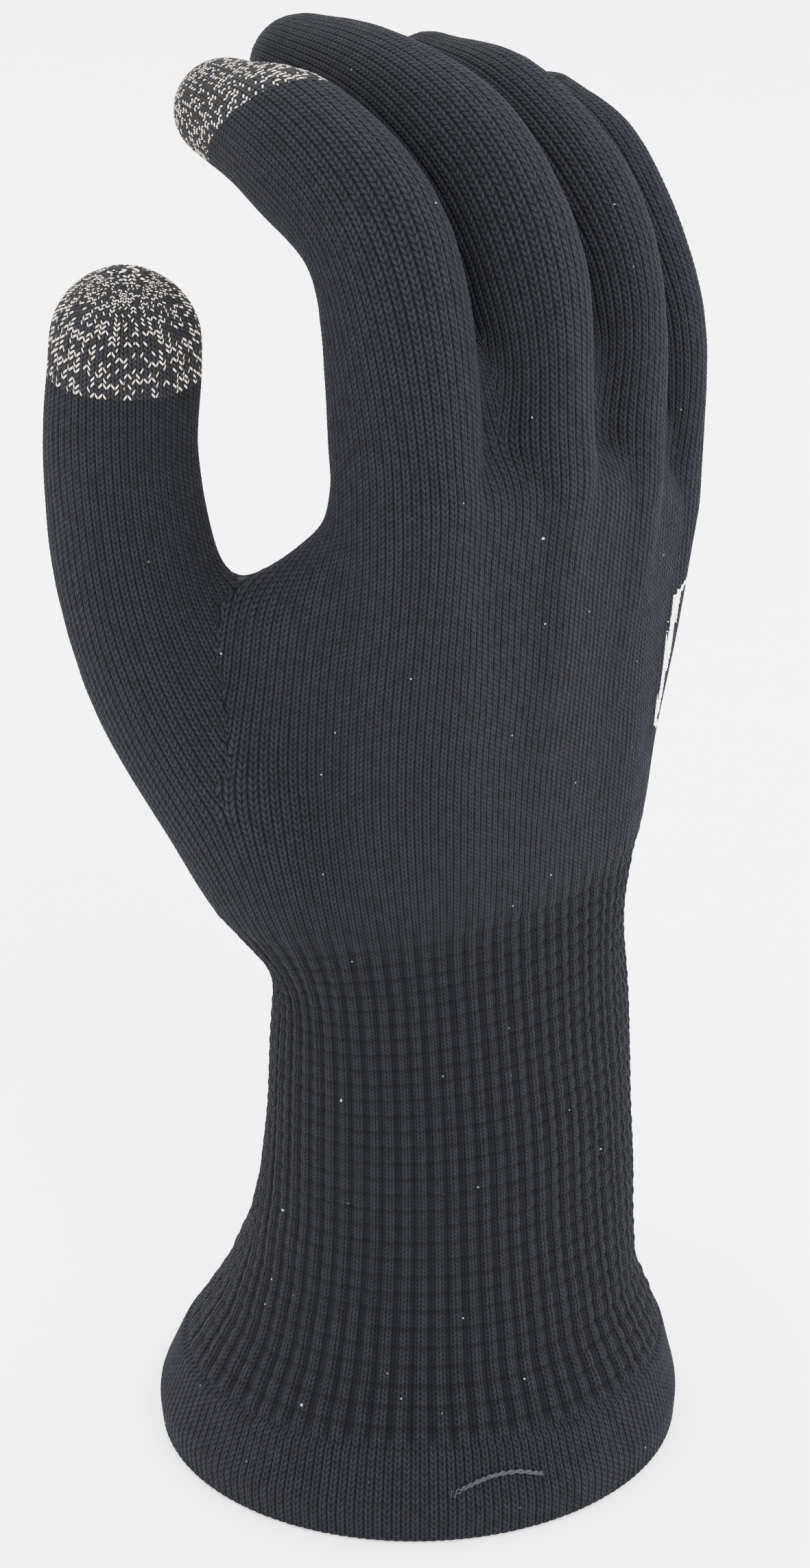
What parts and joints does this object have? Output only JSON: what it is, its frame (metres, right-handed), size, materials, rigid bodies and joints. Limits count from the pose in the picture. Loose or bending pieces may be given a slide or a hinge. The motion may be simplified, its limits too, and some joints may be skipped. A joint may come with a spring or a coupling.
{
  "type": "touchscreen glove",
  "caption": "Knitted glove with a ribbed cuff, hollow bending finger stalls and conductive touch pads on the thumb and index finger.",
  "frame": {"origin": "centre of the bounding box in plan, at the flat edge of the cuff", "axes": "+Z from the cuff mouth to the fingertips; the back of the hand faces -Y, the palm +Y, the thumb side -X"},
  "size_m": [0.1088, 0.0892, 0.2439],
  "materials": {
    "index_bend": "plain jersey knit, matt",
    "index_distal": "plain jersey knit, matt",
    "index_endbend": "plain jersey knit, matt",
    "index_lower": "plain jersey knit, matt",
    "index_touch_cap": "conductive yarn knit with pale flecks",
    "index_upper": "plain jersey knit, matt",
    "knuckle_ring": "plain jersey knit, matt",
    "knuckle_shell": "plain jersey knit, matt",
    "little_bend": "plain jersey knit, matt",
    "little_endbend": "plain jersey knit, matt",
    "little_lower": "plain jersey knit, matt",
    "little_tip": "plain jersey knit, matt",
    "little_upper": "plain jersey knit, matt",
    "middle_bend": "plain jersey knit, matt",
    "middle_endbend": "plain jersey knit, matt",
    "middle_lower": "plain jersey knit, matt",
    "middle_tip": "plain jersey knit, matt",
    "middle_upper": "plain jersey knit, matt",
    "palm_shell": "plain jersey knit, matt",
    "print_badge": "plain pale transfer print",
    "rib_cuff": "ribbed knit, matt",
    "ring_bend": "plain jersey knit, matt",
    "ring_endbend": "plain jersey knit, matt",
    "ring_lower": "plain jersey knit, matt",
    "ring_tip": "plain jersey knit, matt",
    "ring_upper": "plain jersey knit, matt",
    "thumb_base": "plain jersey knit, matt",
    "thumb_bend": "plain jersey knit, matt",
    "thumb_distal": "plain jersey knit, matt",
    "thumb_endbend": "plain jersey knit, matt",
    "thumb_lower": "plain jersey knit, matt",
    "thumb_touch_cap": "conductive yarn knit with pale flecks",
    "thumb_web": "plain jersey knit, matt",
    "welt_inner": "turned plain-knit welt, matt",
    "welt_outer": "turned plain-knit welt, matt",
    "wrist_rib": "ribbed knit, matt",
    "yarn_tail": "loose yarn"
  },
  "bodies": {
    "cuff": {"welt_outer": "welt_outer", "welt_inner": "welt_inner", "rib_cuff": "rib_cuff", "yarn_tail": "yarn_tail", "wrist_rib": "wrist_rib"},
    "hand": {"palm_shell": "palm_shell", "print_badge": "print_badge", "thumb_web": "thumb_web", "thumb_base": "thumb_base", "thumb_bend": "thumb_bend", "knuckle_ring": "knuckle_ring"},
    "knuckles": {"knuckle_shell": "knuckle_shell", "index_lower": "index_lower", "index_bend": "index_bend", "middle_lower": "middle_lower", "middle_bend": "middle_bend", "ring_lower": "ring_lower", "ring_bend": "ring_bend", "little_lower": "little_lower", "little_bend": "little_bend"},
    "thumb_prox": {"thumb_lower": "thumb_lower", "thumb_endbend": "thumb_endbend"},
    "thumb_dist": {"thumb_distal": "thumb_distal", "thumb_touch_cap": "thumb_touch_cap"},
    "index_mid": {"index_upper": "index_upper", "index_endbend": "index_endbend"},
    "index_dist": {"index_distal": "index_distal", "index_touch_cap": "index_touch_cap"},
    "middle_mid": {"middle_upper": "middle_upper", "middle_endbend": "middle_endbend"},
    "middle_dist": {"middle_tip": "middle_tip"},
    "ring_mid": {"ring_upper": "ring_upper", "ring_endbend": "ring_endbend"},
    "ring_dist": {"ring_tip": "ring_tip"},
    "little_mid": {"little_upper": "little_upper", "little_endbend": "little_endbend"},
    "little_dist": {"little_tip": "little_tip"}
  },
  "joints": [
    {"name": "wrist_flex", "type": "hinge", "parent": "cuff", "child": "hand", "pos_m": [0.0094, -0.00375, 0.091], "axis": [-1, 0, 0], "range_deg": [-20, 20], "deforming": ["wrist_rib"]},
    {"name": "thumb_knuckle", "type": "hinge", "parent": "hand", "child": "thumb_prox", "pos_m": [-0.03851, 0.01609, 0.16026], "axis": [0.342, -0.9397, 0], "range_deg": [-22, 10], "deforming": ["thumb_bend"]},
    {"name": "thumb_end", "type": "hinge", "parent": "thumb_prox", "child": "thumb_dist", "pos_m": [-0.0416, 0.01825, 0.1785], "axis": [0.342, -0.9397, 0], "range_deg": [-35, 12], "deforming": ["thumb_endbend"]},
    {"name": "knuckle_row", "type": "hinge", "parent": "hand", "child": "knuckles", "pos_m": [0.0125, -0.0175, 0.172], "axis": [-0.9511, -0.1556, 0.2667], "range_deg": [-8, 20], "deforming": ["knuckle_ring"]},
    {"name": "index_middle", "type": "hinge", "parent": "knuckles", "child": "index_mid", "pos_m": [-0.0196, -0.01725, 0.216], "axis": [-1, 0, 0], "range_deg": [-42, 20], "deforming": ["index_bend"]},
    {"name": "index_end", "type": "hinge", "parent": "index_mid", "child": "index_dist", "pos_m": [-0.0191, 0.00125, 0.2295], "axis": [-1, 0, 0], "range_deg": [-22, 15], "deforming": ["index_endbend"]},
    {"name": "middle_middle", "type": "hinge", "parent": "knuckles", "child": "middle_mid", "pos_m": [0.0029, -0.02075, 0.216], "axis": [-1, 0, 0], "range_deg": [-44, 20], "deforming": ["middle_bend"]},
    {"name": "middle_end", "type": "hinge", "parent": "middle_mid", "child": "middle_dist", "pos_m": [0.0029, 0.00075, 0.232], "axis": [-1, 0, 0], "range_deg": [-26, 15], "deforming": ["middle_endbend"]},
    {"name": "ring_middle", "type": "hinge", "parent": "knuckles", "child": "ring_mid", "pos_m": [0.0249, -0.01825, 0.2085], "axis": [-1, 0, 0], "range_deg": [-38, 20], "deforming": ["ring_bend"]},
    {"name": "ring_end", "type": "hinge", "parent": "ring_mid", "child": "ring_dist", "pos_m": [0.0249, -0.00125, 0.226], "axis": [-1, 0, 0], "range_deg": [-28, 15], "deforming": ["ring_endbend"]},
    {"name": "little_middle", "type": "hinge", "parent": "knuckles", "child": "little_mid", "pos_m": [0.0446, -0.01275, 0.195], "axis": [-1, 0, 0], "range_deg": [-24, 20], "deforming": ["little_bend"]},
    {"name": "little_end", "type": "hinge", "parent": "little_mid", "child": "little_dist", "pos_m": [0.0446, -0.00275, 0.2155], "axis": [-1, 0, 0], "range_deg": [-26, 15], "deforming": ["little_endbend"]}
  ]
}
